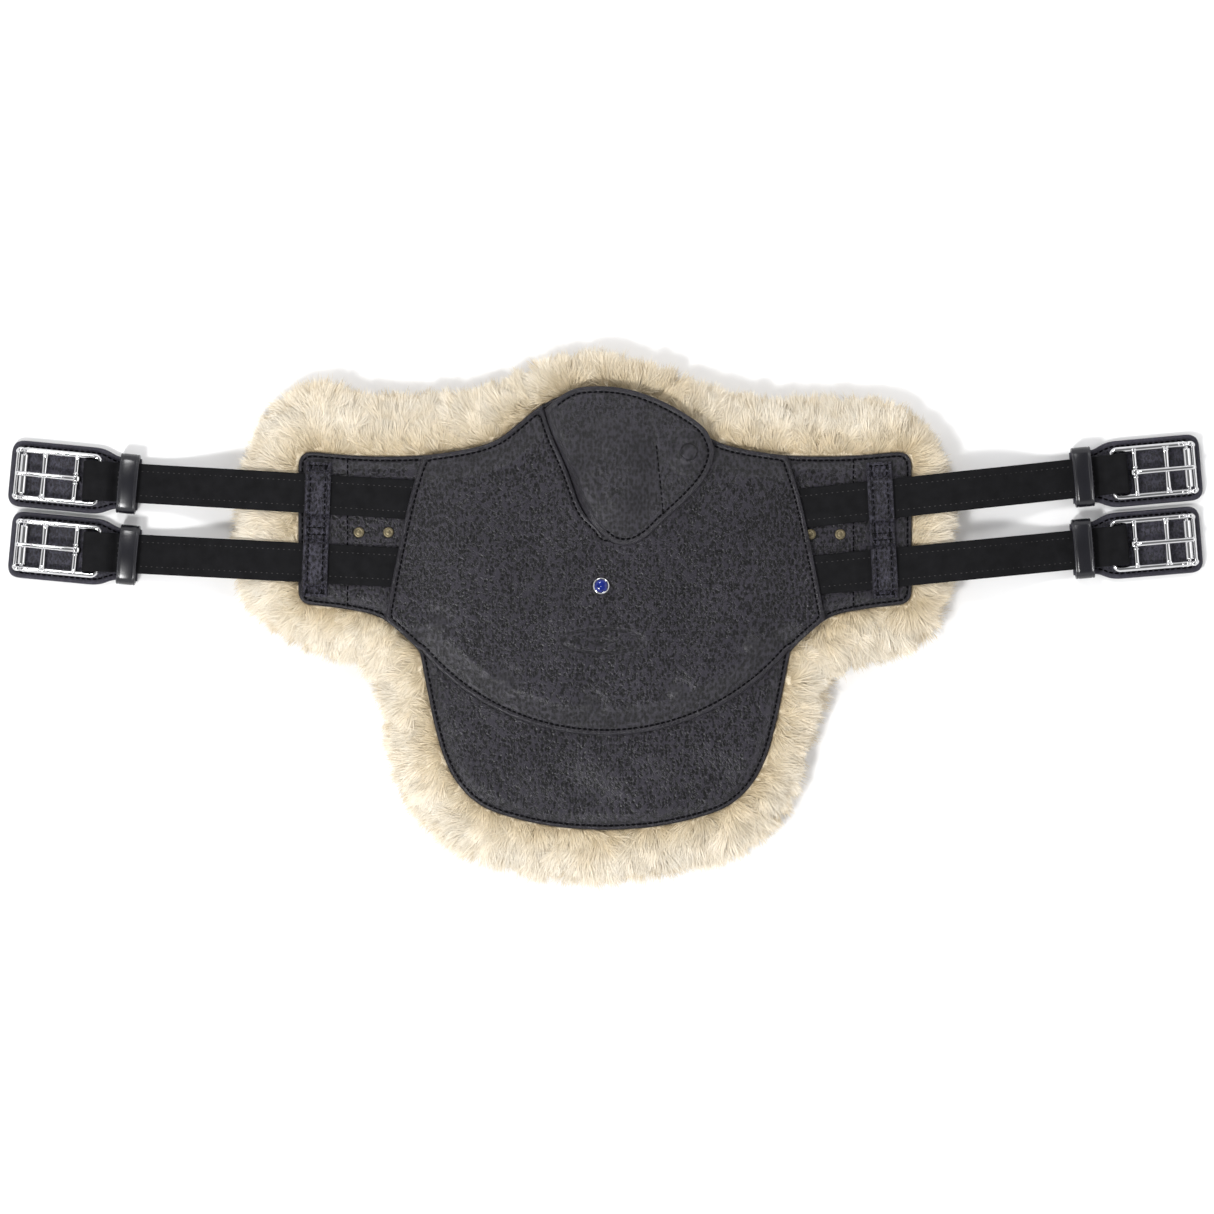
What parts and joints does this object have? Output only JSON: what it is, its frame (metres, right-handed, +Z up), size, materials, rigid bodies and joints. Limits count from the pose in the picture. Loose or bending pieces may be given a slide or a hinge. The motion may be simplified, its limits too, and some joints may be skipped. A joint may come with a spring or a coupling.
{
  "type": "belly-guard girth",
  "caption": "Short belly-guard girth for a saddle horse: grained leather guard on a lambskin pad, web straps with roller buckles, and a snap hook under a press-stud flap.",
  "frame": {"origin": "on the surface the pad lies on, on the leather's line of symmetry, where that line meets the lower edge of the wings", "axes": "+X towards the right-hand buckles seen from above, +Y towards the front edge with the hump, +Z up from the pile to the leather's face"},
  "size_m": [0.748, 0.3299, 0.0392],
  "materials": {
    "wool": "cream lambskin pile",
    "skin": "natural suede",
    "leather": "black, grained",
    "smooth_leather": "black, smooth and glossy",
    "webbing": "black matt web",
    "plastic": "black",
    "steel": "polished stainless",
    "old_brass": "antique, dull",
    "lacquer": "black lacquer",
    "blue_glass": "deep blue cabochon"
  },
  "bodies": {
    "girth": {"lambskin_pile": "wool", "lambskin_hide": "skin", "core_plate": "plastic", "base_panel": "leather", "guard_shield": "leather", "strap_loop_left": "leather", "strap_loop_right": "leather", "strap_left_upper": "webbing", "strap_rivet_left_upper": "old_brass", "buckle_safe_left_upper": "leather", "strap_left_lower": "webbing", "strap_rivet_left_lower": "old_brass", "buckle_safe_left_lower": "leather", "strap_right_upper": "webbing", "strap_rivet_right_upper": "old_brass", "buckle_safe_right_upper": "leather", "strap_right_lower": "webbing", "strap_rivet_right_lower": "old_brass", "buckle_safe_right_lower": "leather", "wing_rivet_left_inner": "old_brass", "wing_rivet_left_outer": "old_brass", "wing_rivet_right_inner": "old_brass", "wing_rivet_right_outer": "old_brass", "guard_rivet_1": "old_brass", "guard_rivet_2": "old_brass", "guard_rivet_3": "old_brass", "guard_rivet_4": "old_brass", "guard_rivet_5": "old_brass", "tab_rivet": "old_brass", "emblem_bezel": "steel", "emblem_cabochon": "blue_glass", "flap_sewn_edge": "leather", "stud_post": "steel", "stud_backing": "steel", "swivel_eye": "steel", "hook_tab": "smooth_leather"},
    "buckle_left_upper": {"buckle_frame_left_upper": "steel"},
    "tongue_left_upper": {"tongue_left_upper": "steel"},
    "roller_left_upper": {"roller_left_upper": "steel"},
    "keeper_left_upper": {"keeper_left_upper": "smooth_leather"},
    "buckle_left_lower": {"buckle_frame_left_lower": "steel"},
    "tongue_left_lower": {"tongue_left_lower": "steel"},
    "roller_left_lower": {"roller_left_lower": "steel"},
    "keeper_left_lower": {"keeper_left_lower": "smooth_leather"},
    "buckle_right_upper": {"buckle_frame_right_upper": "steel"},
    "tongue_right_upper": {"tongue_right_upper": "steel"},
    "roller_right_upper": {"roller_right_upper": "steel"},
    "keeper_right_upper": {"keeper_right_upper": "smooth_leather"},
    "buckle_right_lower": {"buckle_frame_right_lower": "steel"},
    "tongue_right_lower": {"tongue_right_lower": "steel"},
    "roller_right_lower": {"roller_right_lower": "steel"},
    "keeper_right_lower": {"keeper_right_lower": "smooth_leather"},
    "flap": {"hook_flap": "leather", "stud_cap": "lacquer", "stud_socket": "steel"},
    "snap_hook": {"snap_hook": "steel"},
    "snap_gate": {"snap_gate": "steel"}
  },
  "joints": [
    {"name": "buckle_pivot_left_upper", "type": "hinge", "parent": "girth", "child": "buckle_left_upper", "pos_m": [-0.31717, 0.08516, 0.00965], "axis": [0.0958, 0.9954, 0], "range_deg": [0, 90]},
    {"name": "tongue_pivot_left_upper", "type": "hinge", "parent": "buckle_left_upper", "child": "tongue_left_upper", "pos_m": [-0.33111, 0.0865, 0.00965], "axis": [0.0958, 0.9954, 0], "range_deg": [0, 88]},
    {"name": "roller_spin_left_upper", "type": "hinge", "parent": "buckle_left_upper", "child": "roller_left_upper", "pos_m": [-0.36396, 0.08967, 0.00965], "axis": [-0.0958, -0.9954, 0], "continuous": true},
    {"name": "keeper_slide_left_upper", "type": "slide", "parent": "girth", "child": "keeper_left_upper", "axis": [0.9954, -0.0958, 0], "range_m": [0, 0.025]},
    {"name": "buckle_pivot_left_lower", "type": "hinge", "parent": "girth", "child": "buckle_left_lower", "pos_m": [-0.31723, 0.04071, 0.00965], "axis": [0.0941, 0.9956, 0], "range_deg": [0, 90]},
    {"name": "tongue_pivot_left_lower", "type": "hinge", "parent": "buckle_left_lower", "child": "tongue_left_lower", "pos_m": [-0.33117, 0.04203, 0.00965], "axis": [0.0941, 0.9956, 0], "range_deg": [0, 88]},
    {"name": "roller_spin_left_lower", "type": "hinge", "parent": "buckle_left_lower", "child": "roller_left_lower", "pos_m": [-0.36403, 0.04514, 0.00965], "axis": [-0.0941, -0.9956, 0], "continuous": true},
    {"name": "keeper_slide_left_lower", "type": "slide", "parent": "girth", "child": "keeper_left_lower", "axis": [0.9956, -0.0941, 0], "range_m": [0, 0.025]},
    {"name": "buckle_pivot_right_upper", "type": "hinge", "parent": "girth", "child": "buckle_right_upper", "pos_m": [0.31777, 0.08923, 0.00965], "axis": [0.0889, -0.996, 0], "range_deg": [0, 90]},
    {"name": "tongue_pivot_right_upper", "type": "hinge", "parent": "buckle_right_upper", "child": "tongue_right_upper", "pos_m": [0.33172, 0.09048, 0.00965], "axis": [0.0889, -0.996, 0], "range_deg": [0, 88]},
    {"name": "roller_spin_right_upper", "type": "hinge", "parent": "buckle_right_upper", "child": "roller_right_upper", "pos_m": [0.36459, 0.09341, 0.00965], "axis": [-0.0889, 0.996, 0], "continuous": true},
    {"name": "keeper_slide_right_upper", "type": "slide", "parent": "girth", "child": "keeper_right_upper", "axis": [-0.996, -0.0889, 0], "range_m": [0, 0.025]},
    {"name": "buckle_pivot_right_lower", "type": "hinge", "parent": "girth", "child": "buckle_right_lower", "pos_m": [0.31792, 0.04437, 0.00965], "axis": [0.0837, -0.9965, 0], "range_deg": [0, 90]},
    {"name": "tongue_pivot_right_lower", "type": "hinge", "parent": "buckle_right_lower", "child": "tongue_right_lower", "pos_m": [0.33187, 0.04554, 0.00965], "axis": [0.0837, -0.9965, 0], "range_deg": [0, 88]},
    {"name": "roller_spin_right_lower", "type": "hinge", "parent": "buckle_right_lower", "child": "roller_right_lower", "pos_m": [0.36476, 0.0483, 0.00965], "axis": [-0.0837, 0.9965, 0], "continuous": true},
    {"name": "keeper_slide_right_lower", "type": "slide", "parent": "girth", "child": "keeper_right_lower", "axis": [-0.9965, -0.0837, 0], "range_m": [0, 0.025]},
    {"name": "flap_fold", "type": "hinge", "parent": "girth", "child": "flap", "pos_m": [-0.03494, 0.13057, 0.0347], "axis": [0.3886, -0.9214, 0], "range_deg": [0, 150]},
    {"name": "hook_swivel", "type": "hinge", "parent": "girth", "child": "snap_hook", "pos_m": [0.006, 0.089, 0.0291], "axis": [0, 1, 0], "range_deg": [-7, 7]},
    {"name": "gate_hinge", "type": "hinge", "parent": "snap_hook", "child": "snap_gate", "pos_m": [0.0144, 0.0934, 0.0291], "axis": [0, 0, 1], "range_deg": [0, 25], "stiffness_Nm_per_rad": 0.02, "springref_deg": -17.19}
  ]
}
